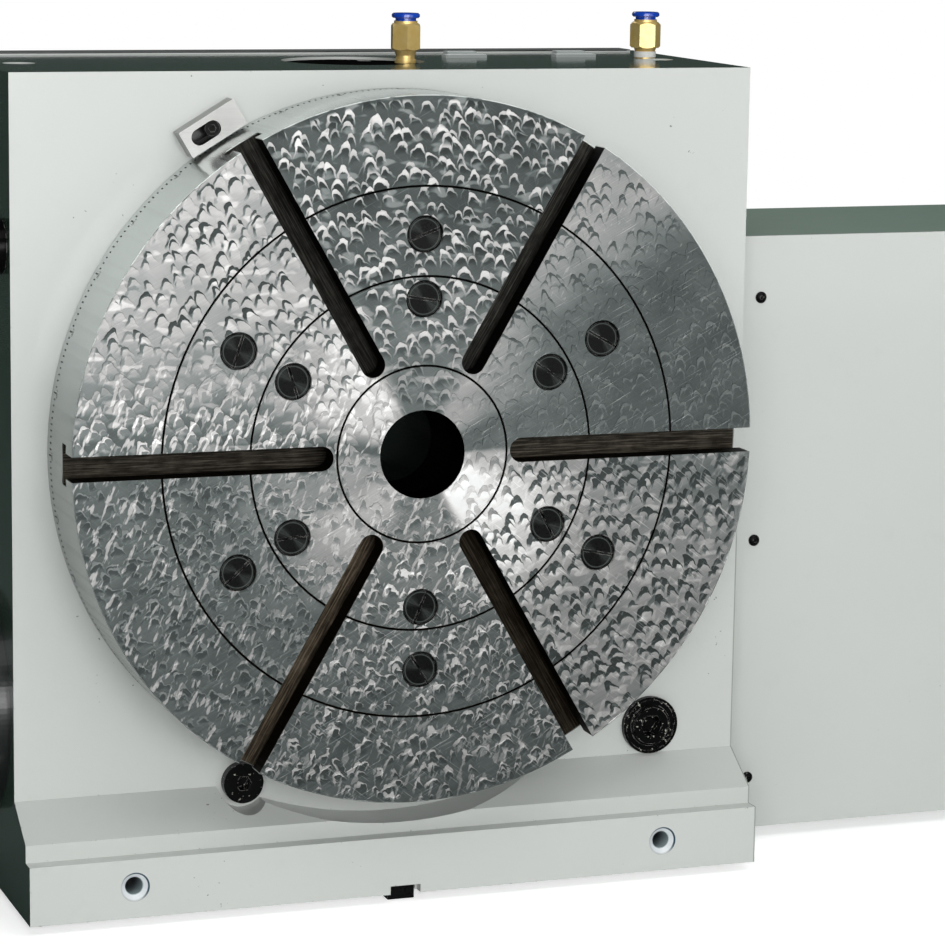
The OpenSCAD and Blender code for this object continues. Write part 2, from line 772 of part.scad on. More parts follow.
module faceplate_bolts() {
    color(dark_steel) for (r = [plug_ring_r, plug_ring_inner_r]) around_y(6, r, 30) difference() {
        union() {
            bar_y(9, bolt_y, bolt_y + 11.9);
            bar_y(6, bolt_y + 11.8, 73, $fn = 32);
        }
        bar_y(5.7, bolt_y - 1, bolt_y + 6, $fn = 6);
    }
}

module spindle() {
    color(steel) difference() {
        union() {
            bar_y(flange_r, plate_t + fit, flange_end_y);
            bar_y(shaft_r, flange_end_y - 1, rear_shaft_y);
            bar_y(rear_shaft_r, rear_shaft_y - 1, spindle_end_y);
        }
        bar_y(spindle_bore_r, 0, spindle_end_y + 1);
        for (r = [plug_ring_r, plug_ring_inner_r]) around_y(6, r, 30) bar_y(6.1, 50, 74, $fn = 32);
    }
}

module spindle_nut() {
    color(dark_steel) difference() {
        ring_y(72, rear_shaft_r + fit, rear_shaft_y + rear_bearing_w + 0.2, 228);
        around_y(4, 72, 45) translate([-4, 213, -4]) cube([8, 16, 8]);
    }
}

module front_bearing_inner() {
    color(steel) ring_y(front_roller_ring_r - front_roller_r - 0.2, shaft_r + fit,
        front_bearing_y + fit, front_bearing_y + front_bearing_w);
}

module rear_bearing_inner() {
    color(steel) ring_y(rear_roller_ring_r - rear_roller_r - 0.2, rear_shaft_r + fit,
        rear_shaft_y + fit, rear_shaft_y + rear_bearing_w);
}

module worm_wheel_rim() {
    lead = atan(worm_module / (2 * worm_r));
    turn = wheel_w * tan(lead) / wheel_r * 180 / PI;
    color(bronze) translate([0, worm_y, 0]) rotate([-90, 0, 0])
        linear_extrude(height = wheel_w, twist = -turn, center = true, slices = 2) rotate(90) difference() {
            polygon(gear_points(worm_module, wheel_teeth, wheel_thin));
            circle(r = 112.6, $fn = 48);
        }
}

module worm_wheel_hub() {
    color(dark_steel) difference() {
        union() {
            bar_y(112, chamber_y + 0.6, worm_y + wheel_w / 2 + 0.1);
            bar_y(126, worm_y + wheel_w / 2 + 0.1, 149);
            bar_y(86, 148, brake_disc_y);
        }
        bar_y(shaft_r + fit, chamber_y, brake_disc_y + 1);
        around_y(8, 119, 0) bar_y(3.2, 140, 150, $fn = 32);
    }
}

module wheel_screws() {
    color(dark_steel) around_y(8, 119, 0) {
        bar_y(5, 149.1, 151.5, $fn = 32);
        bar_y(3, 143.3, 149.2, $fn = 32);
    }
}

module brake_disc() {
    color(steel) ring_y(122, shaft_r + fit, brake_disc_y + fit, brake_disc_y + 4);
}

// ---- Rollers between the bearing rings ----

module front_bearing_rollers() {
    color(steel) roller_set(front_roller_ring_r, front_roller_r, front_bearing_y, front_bearing_w);
}

module rear_bearing_rollers() {
    color(steel) roller_set(rear_roller_ring_r, rear_roller_r, rear_shaft_y, rear_bearing_w);
}

// ---- Worm: everything that turns about the worm axis ----

// Radius of the worm's thread at an axial distance a from the middle of its crest
function thread_r(a) =
    let (flank = worm_r + (worm_pitch / 4 - thread_thin - abs(a)) / tan(20))
    max(worm_r - 1.25 * worm_module, min(worm_r + worm_module, flank));

module worm_screw() {
    crest = (worm_pitch / 4 - thread_thin - worm_module * tan(20)) / worm_pitch * 360;
    root = (worm_pitch / 4 - thread_thin + 1.25 * worm_module * tan(20)) / worm_pitch * 360;
    flank = [for (i = [0:4]) crest + (root - crest) * i / 4];
    angles = concat([0, crest / 2], flank, [for (i = [1:3]) root + (360 - 2 * root) * i / 4],
        [for (i = [4:-1:0]) 360 - flank[i]], [360 - crest / 2]);
    outline = [for (a = angles)
        let (r = thread_r((a > 180 ? 360 - a : a) / 360 * worm_pitch)) [r * cos(a), r * sin(a)]];
    turns = 2 * worm_half_l / worm_pitch;
    color(steel) translate([0, worm_y, worm_z]) rotate([0, 90, 0])
        linear_extrude(height = 2 * worm_half_l, twist = -360 * turns, center = true,
            slices = round(16 * turns), $fn = 16) polygon(outline);
}

module worm_journals() {
    bearing_end = worm_bearing_x + worm_bearing_w + 0.5;
    color(steel) {
        bar_x(16, worm_half_l + fit, 38, worm_y, worm_z);
        bar_x(worm_journal_r + 4, 38 - eps, worm_bearing_x, worm_y, worm_z);
        bar_x(worm_journal_r, worm_bearing_x - eps, worm_end_x, worm_y, worm_z);
        bar_x(16, -38, -worm_half_l - fit, worm_y, worm_z);
        bar_x(worm_journal_r + 4, -worm_bearing_x, -38 + eps, worm_y, worm_z);
        bar_x(worm_journal_r, -bearing_end, -worm_bearing_x + eps, worm_y, worm_z);
    }
}

module worm_gear() {
    color(dark_steel) translate([gear_x, worm_y, worm_z]) rotate([90, 0, 90]) linear_extrude(height = gear_w)
        difference() {
            rotate(spur_angle) polygon(gear_points(spur_module, worm_gear_teeth, spur_thin));
            circle(r = worm_journal_r + fit);
        }
}

module worm_bearings_inner() {
    color(steel) for (s = [0, 1]) mirror([s, 0, 0])
        ring_x(worm_ball_ring_r - 3, worm_journal_r + fit, worm_bearing_x + 0.5,
            worm_bearing_x + 0.5 + worm_bearing_w, worm_y, worm_z);
}

// ---- Motor rotor ----

module motor_shaft() {
    color(steel) {
        bar_x(motor_shaft_r, gear_x - 2, motor_x + 20, motor_y, motor_z);
        bar_x(38, motor_x + 20 - eps, motor_x + motor_l - 20, motor_y, motor_z);
    }
}

module motor_pinion() {
    phase = spur_angle + 180 + 180 / pinion_teeth;
    color(dark_steel) translate([gear_x, motor_y, motor_z]) rotate([90, 0, 90]) linear_extrude(height = gear_w)
        difference() {
            rotate(phase) polygon(gear_points(spur_module, pinion_teeth, spur_thin));
            circle(r = motor_shaft_r + fit);
        }
}

// ---- Brake ----

module brake_piston() {
    color(steel) ring_y(piston_out_r - fit, piston_in_r + fit, piston_y, piston_y + 16);
}

housing();
front_seal();
front_bearing_outer();
rear_bearing_outer();
rear_bearing_carrier();
carrier_screws();
rear_cover();
brake_backing_ring();
brake_cylinder();
top_cover();
top_cover_screws();
top_tabs();
rear_strip();
worm_end_cover();
worm_end_cover_screws();
worm_bearings_outer();
worm_shaft_seal();
side_sight_glass();
side_sight_lens();
oil_fill_plug();
oil_drain_plug();
zero_block();
zero_block_screw();
base_keys();
base_key_screws();
air_fittings();
thread_tape();
gear_case();
motor_plate();
gear_case_screws();
motor_body();
motor_end_cap();
motor_connectors();
motor_screws();
motor_box();
motor_box_panel();
motor_box_screws();
cable_glands();
faceplate();
bolt_plugs();
faceplate_bolts();
spindle();
spindle_nut();
front_bearing_inner();
rear_bearing_inner();
worm_wheel_rim();
worm_wheel_hub();
wheel_screws();
brake_disc();
front_bearing_rollers();
rear_bearing_rollers();
worm_screw();
worm_journals();
worm_gear();
worm_bearings_inner();
motor_shaft();
motor_pinion();
brake_piston();
left_release_collar();
right_release_collar();
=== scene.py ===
"""Looks of the rotary table: materials, small detail, lights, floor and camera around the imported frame."""

import json
import math

import bmesh
import bpy
from mathutils import Matrix, Vector


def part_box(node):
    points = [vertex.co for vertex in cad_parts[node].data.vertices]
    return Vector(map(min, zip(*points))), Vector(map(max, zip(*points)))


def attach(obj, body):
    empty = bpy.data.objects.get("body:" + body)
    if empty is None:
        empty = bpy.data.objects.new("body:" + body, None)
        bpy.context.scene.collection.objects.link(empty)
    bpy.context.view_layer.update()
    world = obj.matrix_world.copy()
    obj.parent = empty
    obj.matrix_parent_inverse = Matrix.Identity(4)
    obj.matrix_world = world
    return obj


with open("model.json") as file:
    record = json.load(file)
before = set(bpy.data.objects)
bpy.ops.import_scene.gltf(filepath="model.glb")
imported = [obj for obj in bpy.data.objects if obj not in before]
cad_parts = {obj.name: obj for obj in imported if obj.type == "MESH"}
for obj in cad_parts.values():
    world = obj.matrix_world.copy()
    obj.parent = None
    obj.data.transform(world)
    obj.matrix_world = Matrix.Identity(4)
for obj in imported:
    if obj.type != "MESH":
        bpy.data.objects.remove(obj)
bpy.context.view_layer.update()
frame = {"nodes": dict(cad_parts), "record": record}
NODES = frame["nodes"]
MM = 0.001

# Main dimensions, read from the frame
plate_low, plate_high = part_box("faceplate")
PLATE_R = (plate_high[0] - plate_low[0]) / 2
PLATE_T = plate_high[1] - plate_low[1]
HOUSE_RIGHT, HOUSE_REAR, HOUSE_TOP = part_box("housing")[1]
FLOOR_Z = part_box("base_keys")[0].z
BLOCK_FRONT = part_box("zero_block")[0][1]
screw_low, screw_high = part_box("zero_block_screw")
SCREW_X, SCREW_Z = (screw_low[0] + screw_high[0]) / 2, (screw_low[2] + screw_high[2]) / 2

# Places on the CAD parts that the materials follow: the plate's in mm, the rest in metres
PLATE_R_MM = PLATE_R / MM
BORE_R_MM = 25.0
PLUG_RINGS_MM = (123.2, 87.2)
SLOT_DEPTH = 0.0230
FOOT_HOLE_X = 0.160
FOOT_HOLE_Z = -0.242
FOOT_HOLE_R = 0.0051
FOOT_MOUTH_R = 0.0082


# ---------------------------------------------------------------- node maths

class Net:
    """A material's node tree, with arithmetic on its values."""

    def __init__(self, name):
        self.material = bpy.data.materials.new(name)
        self.material.use_nodes = True
        self.tree = self.material.node_tree
        self.tree.nodes.clear()
        self.output = self.tree.nodes.new("ShaderNodeOutputMaterial")
        self.shader = self.tree.nodes.new("ShaderNodeBsdfPrincipled")
        self.tree.links.new(self.shader.outputs[0], self.output.inputs[0])
        coordinates = self.tree.nodes.new("ShaderNodeTexCoord")
        self.place = coordinates.outputs["Object"]
        self.facing = coordinates.outputs["Normal"]

    def plug(self, socket, value):
        """Links a value to a socket, or sets a plain number or colour on it."""
        if isinstance(value, Value):
            self.tree.links.new(value.socket, socket)
        elif isinstance(value, bpy.types.NodeSocket):
            self.tree.links.new(value, socket)
        else:
            if isinstance(value, (tuple, list)) and len(value) == 3 and socket.type == "RGBA":
                value = (*value, 1.0)
            socket.default_value = value

    def math(self, operation, *values):
        node = self.tree.nodes.new("ShaderNodeMath")
        node.operation = operation
        for socket, value in zip(node.inputs, values):
            self.plug(socket, value)
        return Value(self, node.outputs[0])

    def length(self, first, second, extra=0.0):
        """The length of a flat vector; extra keeps it off zero."""
        return self.math("SQRT", first * first + second * second + extra)

    def axes(self, vector=None):
        """The X, Y and Z of a vector, in metres for the object's own coordinates."""
        node = self.tree.nodes.new("ShaderNodeSeparateXYZ")
        self.plug(node.inputs[0], self.place if vector is None else vector)
        return [Value(self, s) for s in node.outputs]

    def vector(self, x, y, z):
        node = self.tree.nodes.new("ShaderNodeCombineXYZ")
        for socket, value in zip(node.inputs, (x, y, z)):
            self.plug(socket, value)
        return node.outputs[0]

    def noise(self, scale, detail=3.0, roughness=0.5, vector=None, stretch=None):
        """Smooth noise from 0 to 1; scale is in waves per metre."""
        source = self.place if vector is None else vector
        if stretch:
            mapping = self.tree.nodes.new("ShaderNodeMapping")
            mapping.inputs["Scale"].default_value = stretch
            self.plug(mapping.inputs["Vector"], source)
            source = mapping.outputs[0]
        node = self.tree.nodes.new("ShaderNodeTexNoise")
        self.plug(node.inputs["Vector"], source)
        node.inputs["Scale"].default_value = scale
        node.inputs["Detail"].default_value = detail
        node.inputs["Roughness"].default_value = roughness
        return Value(self, node.outputs["Fac"])

    def random(self, x, y, z):
        """White noise, the same for equal inputs: one number, and a colour of three."""
        node = self.tree.nodes.new("ShaderNodeTexWhiteNoise")
        self.plug(node.inputs["Vector"], self.vector(x, y, z))
        return Value(self, node.outputs["Value"]), node.outputs["Color"]

    def ramp(self, value, low, high, out_low=0.0, out_high=1.0):
        """A smooth step from one number to another; low may be above high."""
        node = self.tree.nodes.new("ShaderNodeMapRange")
        node.interpolation_type = "SMOOTHSTEP"
        for name, number in (("Value", value), ("From Min", low), ("From Max", high),
                             ("To Min", out_low), ("To Max", out_high)):
            self.plug(node.inputs[name], number)
        return Value(self, node.outputs[0])

    def mix(self, factor, first, second):
        node = self.tree.nodes.new("ShaderNodeMix")
        node.data_type = "RGBA"
        self.plug(node.inputs[0], factor)
        self.plug(node.inputs[6], first)
        self.plug(node.inputs[7], second)
        return node.outputs[2]

    def bump(self, height, distance, strength):
        node = self.tree.nodes.new("ShaderNodeBump")
        node.inputs["Distance"].default_value = distance
        node.inputs["Strength"].default_value = strength
        self.plug(node.inputs["Height"], height)
        return node.outputs[0]

    def edge_wear(self, radius):
        """1 on sharp edges, 0 elsewhere."""
        bevel = self.tree.nodes.new("ShaderNodeBevel")
        bevel.samples = 6
        bevel.inputs["Radius"].default_value = radius
        geometry = self.tree.nodes.new("ShaderNodeNewGeometry")
        dot = self.tree.nodes.new("ShaderNodeVectorMath")
        dot.operation = "DOT_PRODUCT"
        self.plug(dot.inputs[0], bevel.outputs[0])
        self.plug(dot.inputs[1], geometry.outputs["Normal"])
        return self.ramp(Value(self, dot.outputs["Value"]), 0.98, 0.8)

    def finish(self, **inputs):
        """Sets the shader's sockets by name, with _ for a space, and returns the material."""
        for name, value in inputs.items():
            self.plug(self.shader.inputs[name.replace("_", " ")], value)
        return self.material


class Value:
    """A number that flows between nodes."""

    def __init__(self, net, socket):
        self.net = net
        self.socket = socket

    def __add__(self, other):
        return self.net.math("ADD", self, other)

    def __radd__(self, other):
        return self.net.math("ADD", other, self)

    def __sub__(self, other):
        return self.net.math("SUBTRACT", self, other)

    def __rsub__(self, other):
        return self.net.math("SUBTRACT", other, self)

    def __mul__(self, other):
        return self.net.math("MULTIPLY", self, other)

    def __rmul__(self, other):
        return self.net.math("MULTIPLY", other, self)

    def __truediv__(self, other):
        return self.net.math("DIVIDE", self, other)

    def __abs__(self):
        return self.net.math("ABSOLUTE", self)

    def floor(self):
        return self.net.math("FLOOR", self)

    def clamp(self):
        return self.net.math("MINIMUM", self.net.math("MAXIMUM", self, 0.0), 1.0)

    def max(self, other):
        return self.net.math("MAXIMUM", self, other)


# ---------------------------------------------------------------- the scraped faceplate

# Size of the cell that one scraped mark lies in, in mm
MARK_WIDTH = 16.4
MARK_HEIGHT = 16.0


class PlateFace:
    """Where a point lies on the plate: in mm, in which sector between the slots, and in what light."""

    def __init__(self, net):
        self.net = net
        self.x, self.y, self.z = net.axes()
        self.mm_x, self.mm_z = self.x * 1000.0, self.z * 1000.0
        self.radius = net.length(self.mm_x, self.mm_z, 1.0)
        self.sectors = {name: self.toward(degrees, 0.835, 0.895) for name, degrees in (
            ("top", 90), ("upper_left", 150), ("lower_left", 210),
            ("bottom", 270), ("lower_right", 330), ("upper_right", 30))}
        self.inner = net.ramp(self.radius, 135.0, 55.0)
        # The turned face gleams in two crossed bow ties through the centre
        self.gleam = self.toward(141, 0.86, 0.995, True)
        self.cross_gleam = self.toward(47, 0.90, 0.995, True)
        # Height above a line that slants through the upper right sector
        self.above_slant = self.mm_z - self.mm_x * 0.62
        # Lower edge of the upper left sector, where the painted reflection dims
        self.dusk = net.ramp(self.mm_z, 80.0, 10.0) * self.sectors["upper_left"]
        self.broad = self.patches(9.0, 2.0, 0.0)
        self.cloud = self.patches(38.0, 2.0, 5.0)

    def toward(self, degrees, low, high, both_ways=False):
        """1 in the sector around an angle from the centre, 0 outside it."""
        turn = math.radians(degrees)
        cosine = (self.mm_x * math.cos(turn) + self.mm_z * math.sin(turn)) / self.radius
        return self.net.ramp(abs(cosine) if both_ways else cosine, low, high)

    def by_sector(self, **amounts):
        """Each named sector times its amount, added up."""
        total = None
        for name, amount in amounts.items():
            term = self.sectors[name] * amount
            total = term if total is None else total + term
        return total

    def patches(self, scale, detail, layer):
        """Noise on the face, the same at every depth; each layer has its own pattern."""
        return self.net.noise(scale, detail, vector=self.net.vector(self.x, layer, self.z))

    def scratches(self, degrees, along, across, low, high):
        """Thin straight lines at an angle."""
        turn = math.radians(degrees)
        u = self.x * math.cos(turn) + self.z * math.sin(turn)
        v = self.z * math.cos(turn) - self.x * math.sin(turn)
        lines = self.net.noise(1.0, 2.0, 0.5, vector=self.net.vector(u * along, v * across, 0.0))
        return self.net.ramp(lines, low, high)


def bare_tone(net, face):
    """Brightness of the metal between the marks, as painted reflection that differs sector by sector."""
    inner = face.inner
    tone = face.by_sector(top=0.080 + inner * 0.075, upper_left=0.27 + face.broad * 0.12,
                          lower_left=0.130 + inner * 0.17, bottom=0.135 + inner * 0.08,
                          lower_right=0.33 + inner * 0.22, upper_right=0.112 + inner * 0.045)
    tone = tone * (1.0 - face.dusk * 0.58)
    # Painted reflection: the lower right sector darkens to the right, and the upper right one has a light patch
    # at its top
    rightward = net.ramp(face.mm_z + face.mm_x * 0.35, -20.0, 50.0)
    tone = tone * (1.0 - face.by_sector(lower_right=rightward * 0.42))
    tone = tone + face.by_sector(upper_right=net.ramp(face.above_slant, 5.0, 70.0) * 0.22)
    tone = tone + (face.gleam * 0.46 + face.cross_gleam * 0.17) * net.ramp(face.radius, 112.0, 38.0)
    return tone * (0.50 + face.cloud)


def mark_tone(net, face):
    """Brightness of the marks, as painted reflection: lighter than the metal in the dark sectors, darker in the
    light ones.
    """
    inner, gleam = face.inner, face.gleam
    tone = face.by_sector(top=0.66, upper_left=0.055, lower_left=0.42 + inner * 0.20,
                          bottom=0.56 + inner * 0.25, lower_right=0.070 + inner * 0.02, upper_right=0.10)
    tone = tone + face.dusk * 0.62
    tone = tone + face.by_sector(upper_right=net.ramp(face.above_slant, 5.0, -40.0) * 0.16)
    return tone * (1.0 - gleam * inner * 0.80) + gleam * inner * 0.10


def scraped_marks(net, face):
    """Six layers of pointed arches in rows, and the hollows below them."""
    reach = 2.3 + face.by_sector(top=0.6, upper_left=-0.3, lower_right=1.5) + (face.cloud - 0.5) * 2.2
    lean = face.by_sector(upper_left=0.9, lower_right=1.0, bottom=0.6) + (face.broad - 0.5) * 1.5
    fall = 0.62 - face.by_sector(upper_left=0.34, lower_right=0.40)
    # The hand behind the scraper isn't steady
    unsteady = 6.5 + face.by_sector(bottom=6.0, lower_left=6.0)
    mark_x = face.mm_x + (face.patches(120.0, 3.0, 7.0) - 0.5) * unsteady
    mark_z = face.mm_z + (face.patches(120.0, 3.0, 11.0) - 0.5) * unsteady
    drift = face.patches(12.0, 1.0, 3.0)

    def layer(shift_x, shift_z, seed, keep):
        """One layer, each mark in its own cell: the arch, and the hollow below it."""
        u = mark_x / MARK_WIDTH + shift_x + drift * 1.1
        v = mark_z / MARK_HEIGHT + shift_z + drift * 0.9
        column, row = u.floor(), v.floor()
        chance, colour = net.random(column, row, seed)
        random_x, random_z, random_size = net.axes(colour)
        from_x = (u - column - 0.5 + (random_x - 0.5) * 0.26) * MARK_WIDTH
        from_z = (v - row - 0.5 + (random_z - 0.5) * 0.30) * MARK_HEIGHT
        size = 0.62 + random_size * 0.42
        side = (from_x + from_z * ((random_x - 0.5) * 0.7 + 0.12)) / size
        height = (from_z - 1.2) / size
        # Half width of the hood at each height: pointed at the crown, nearly upright at the legs
        drop = (4.4 - height).max(0.0)
        outer_half = net.math("POWER", drop, 0.46) * 1.85
        inner_half = net.math("POWER", (drop - reach).max(0.0), 0.46) * 1.80
        # Thick on the left leg and thin on the right, where the scraper left the metal
        inside = net.ramp(outer_half - abs(side), -0.15, 0.35)
        hollow = net.ramp(inner_half - abs(side - lean), -0.30, 0.35) * net.ramp(drop - reach, 0.0, 0.6)
        fade = net.ramp(height, -5.2, -0.8)
        there = net.ramp(chance, keep, keep + 0.05)
        shade = (0.50 + random_size * 0.50) * (1.0 - net.ramp(drop, 1.0, 7.0) * fall)
        return inside * (1.0 - hollow) * fade * there * shade, inside * hollow * fade * there

    arch, pit = layer(0.0, 0.0, 1.0, 0.12)
    for place in ((0.5, 0.02, 2.0, 0.12), (0.27, 0.5, 3.0, 0.12), (0.77, 0.48, 4.0, 0.12),
                  (0.13, 0.27, 5.0, 0.42), (0.64, 0.75, 6.0, 0.42)):
        # A later mark lies over an earlier one
        above, hollow = layer(*place)
        arch = (arch * (1.0 - hollow * 0.95)).max(above)
        pit = (pit * (1.0 - above)).max(hollow)
    return arch, pit


def mark_strength(net, face):
    """How clearly the marks show: less at the bore, the rim and the slots, and in the quiet sectors."""
    near_slot = face.toward(60, 0.9985, 0.9999, True).max(face.toward(120, 0.9985, 0.9999, True)) * 0.6
    quiet = face.by_sector(upper_right=net.ramp(face.above_slant, 45.0, 5.0) * 0.62, lower_left=0.55)
    strength = (1.0 - quiet) * (1.0 - net.ramp(face.radius, PLATE_R_MM - 3.5, PLATE_R_MM - 1.5))
    strength = strength * (0.35 + net.ramp(face.radius, 45.0, 70.0) * 0.65) * (1.0 - near_slot)
    return strength * (1.0 + face.by_sector(lower_right=0.6, upper_left=0.45, upper_right=0.35, bottom=0.2))


def dragged_lines(net, face, tone):
    """Adds slanting smears where the scraper dragged: long on the left and below, short dashes on the right."""
    leftward = net.ramp(face.mm_x + face.mm_z * 0.4, -110.0, -190.0)
    area = (face.dusk + face.by_sector(lower_left=0.55 + leftward * 0.45, lower_right=0.30,
                                       bottom=0.45 + face.inner * 0.3)).clamp()
    smear = face.scratches(66, 95.0, 290.0, 0.57, 0.64)
    tone = tone * (1.0 - face.dusk * 0.15) + smear * area * (0.36 - face.by_sector(lower_left=0.06))
    dash = face.scratches(58, 150.0, 420.0, 0.62, 0.72)
    return tone + dash * face.by_sector(upper_right=0.10, lower_left=0.14, bottom=0.10)


def slot_tone(net, face):
    """Brightness inside the stained slots, lighter on some slots' floors than on others, with painted shade on
    their walls and in the bore.
    """
    stain = net.noise(46.0, 5.0, 0.68)
    turn = net.math("ARCTAN2", face.mm_z, face.mm_x)
    from_slot = net.math("WRAP", turn + math.pi / 6, math.pi / 3, 0.0) - math.pi / 6
    across = face.radius * net.math("SINE", from_slot)
    along = face.radius * 0.035
    streak = net.noise(1.0, 3.0, 0.65, vector=net.vector(along, across * 1.1, (turn * 3.0).floor()))
    wear = 0.55
    for degrees, more in ((240, 1.5), (0, 0.55), (60, 0.30), (180, 0.25)):
        wear = wear + face.toward(degrees, 0.98, 0.995) * more
    dirt = 0.022 + net.ramp(stain, 0.45, 0.72) * 0.04 + net.ramp(streak, 0.42, 0.72) * 0.10
    on_floor = net.ramp(face.y, SLOT_DEPTH - 0.0008, SLOT_DEPTH - 0.0002)
    bore_shade = net.ramp(face.radius, BORE_R_MM + 2.0, BORE_R_MM + 0.5)
    # Painted shade: the slot walls stay near black, and the bore is darkened
    return (0.005 + on_floor * wear * dirt) * (1.0 - bore_shade * 0.85)


def scraped_iron():
    """The faceplate: a face scraped with rows of half-moon marks in painted reflection that differs by sector,
    stained slots and bore with painted shade, and a side with painted light.
    """
    net = Net("scraped_iron")
    face = PlateFace(net)
    inner = face.inner
    arch, pit = scraped_marks(net, face)
    blend = (arch * mark_strength(net, face)).clamp()
    # Painted shade in the hollows below the marks in the top, bottom and lower left sectors; painted reflection
    # lightens them in the upper left, the lower right and along the gleam
    shaded_pits = face.by_sector(top=1.0, bottom=1.0, lower_left=1.0).clamp()
    tone = bare_tone(net, face) * (1.0 - pit * 0.42 * shaded_pits)
    tone = tone + pit * (face.by_sector(upper_left=0.10, lower_right=0.08) + face.gleam * inner * 0.15)
    tone = tone * (1.0 - blend) + mark_tone(net, face) * blend
    # Flat patches between the marks
    flat = net.ramp(net.noise(110.0, 1.0, vector=net.vector(face.x * 0.7, 9.0, face.z * 1.6)), 0.56, 0.66)
    tone = tone + flat * (1.0 - blend) * face.by_sector(top=0.14, upper_left=0.20, lower_right=0.18)
    tone = dragged_lines(net, face, tone)

    # Straight scratches from stoning the face, brightest where it is dark
    fine = face.scratches(28, 40.0, 1250.0, 0.60, 0.76)
    hatch = face.scratches(-38, 50.0, 1050.0, 0.60, 0.74)
    grain = face.scratches(28, 25.0, 1500.0, 0.2, 0.8)
    turned = net.noise(1.0, 3.0, 0.6, vector=net.vector(face.radius * 2.2, 0.0, 0.0))
    tone = tone * (0.84 + grain * 0.18 + turned * 0.16)
    tone = tone + fine * (0.05 + face.by_sector(upper_right=0.11, bottom=0.11))
    tone = tone + hatch * (0.03 + face.by_sector(lower_right=0.24, bottom=0.14))
    tone = tone.max(0.02)

    # Below the face: slots and bore with painted shade, and the side of the plate with painted light, brighter
    # towards the top
    rim = net.ramp(face.radius, PLATE_R_MM - 0.7, PLATE_R_MM - 0.1)
    wall = net.ramp(face.y, 0.0002, 0.0010) * (1.0 - rim)
    # Painted light: the plate's side is lighter towards the top
    lit_side_tone = 0.29 + net.ramp(face.z, -0.02, 0.13) * 0.27 + (net.noise(30.0, 3.0) - 0.5) * 0.06
    tone = tone * (1.0 - wall) + slot_tone(net, face) * wall
    tone = tone * (1.0 - rim) + lit_side_tone * rim

    tint = net.mix(net.ramp(tone, 0.08, 0.42), (0.87, 1.0, 0.98), (1.0, 0.980, 0.970))
    tint = net.mix(wall, tint, net.mix(net.ramp(face.z, 0.05, -0.05), (1.0, 0.96, 0.86), (1.0, 0.80, 0.58)))
    tint = net.mix(rim, tint, (0.93, 1.0, 0.97))
    scale = net.tree.nodes.new("ShaderNodeVectorMath")
    scale.operation = "SCALE"
    net.plug(scale.inputs[0], tint)
    net.plug(scale.inputs["Scale"], tone)

    rough = 0.36 + grain * 0.10 * (1.0 - rim) + pit * 0.05 + wall * 0.25 - rim * 0.16
    height = (arch * -0.6 + pit * -0.3 + fine * -0.2) * (1.0 - wall) * (1.0 - rim)
    normal = net.bump(height, 0.00022, 0.8)
    return net.finish(Base_Color=scale.outputs[0], Roughness=rough, Normal=normal, Metallic=1.0)


# ---------------------------------------------------------------- paint

def two_tone(net, base, blotch, dark_colour):
    """Dark top, ends and rear on the housing's light paint, with painted shade behind the zero block's slot and
    in a seam line: the new colour, and where it is dark.
    """
    x, y, z = net.axes()
    across, along, upward = net.axes(net.facing)
    # Painted shade: the paint behind the zero block's slot, seen only through the slot, is darkened to near
    # black
    from_slot_shade = net.length(x - SCREW_X + 0.00385, z - SCREW_Z + 0.00233)
    base = net.mix(net.ramp(from_slot_shade, 0.0077, 0.0074), base, (0.004, 0.004, 0.004))
    edge = 0.0016
    ends = net.ramp(abs(x), HOUSE_RIGHT - edge, HOUSE_RIGHT - edge / 2) * net.ramp(abs(across), 0.90, 0.94)
    # Painted shade: a thin dark line on the front, in the gap beside the motor box
    painted_seam_shade = net.ramp(x, HOUSE_RIGHT - 0.0010, HOUSE_RIGHT - 0.0006) * net.ramp(z, -0.055, -0.075) * 0.45
    top = (net.ramp(z, HOUSE_TOP - edge, HOUSE_TOP - edge / 2)
           * net.ramp(z, HOUSE_TOP + 0.0004, HOUSE_TOP + 0.0002) * net.ramp(upward, 0.90, 0.94))
    rear = net.ramp(y, HOUSE_REAR - edge, HOUSE_REAR - edge / 2) * net.ramp(along, 0.5, 0.6)
    dark = ends.max(painted_seam_shade).max(top).max(rear)
    return net.mix(dark, base, net.mix(blotch, tuple(c * 0.8 for c in dark_colour), dark_colour)), dark


def tapped_holes(net, base):
    """The foot's two tapped holes: thread with painted shade that deepens inward, a bare rim round it and a
    painted shade line round that.
    """
    x, y, z = net.axes()
    beside = x + FOOT_HOLE_X - net.ramp(x, -0.001, 0.001) * (2 * FOOT_HOLE_X)
    above = z - FOOT_HOLE_Z
    mouth = net.length(beside, above)
    base = net.mix(net.ramp(mouth, FOOT_MOUTH_R - 0.0002, FOOT_MOUTH_R - 0.0004), base, (0.72, 0.75, 0.77))
    mouth_shade_line = (net.ramp(mouth, FOOT_MOUTH_R - 0.0009, FOOT_MOUTH_R - 0.0006)
            * net.ramp(mouth, FOOT_MOUTH_R + 0.0003, FOOT_MOUTH_R + 0.0001))
    # Painted shade: the line is darkest at the upper right
    mouth_shade_line = mouth_shade_line * (0.20 + net.ramp(beside + above, -0.007, 0.007) * 0.80)
    base = net.mix(mouth_shade_line, base, (0.02, 0.06, 0.09))
    # Painted shade: the thread darkens towards the back of the hole
    thread_depth_shade = net.mix(net.ramp(y, 0.042, 0.024), (0.002, 0.004, 0.008), (0.42, 0.50, 0.52))
    return net.mix(net.ramp(mouth, FOOT_HOLE_R + 0.0003, FOOT_HOLE_R + 0.0001), base, thread_depth_shade)


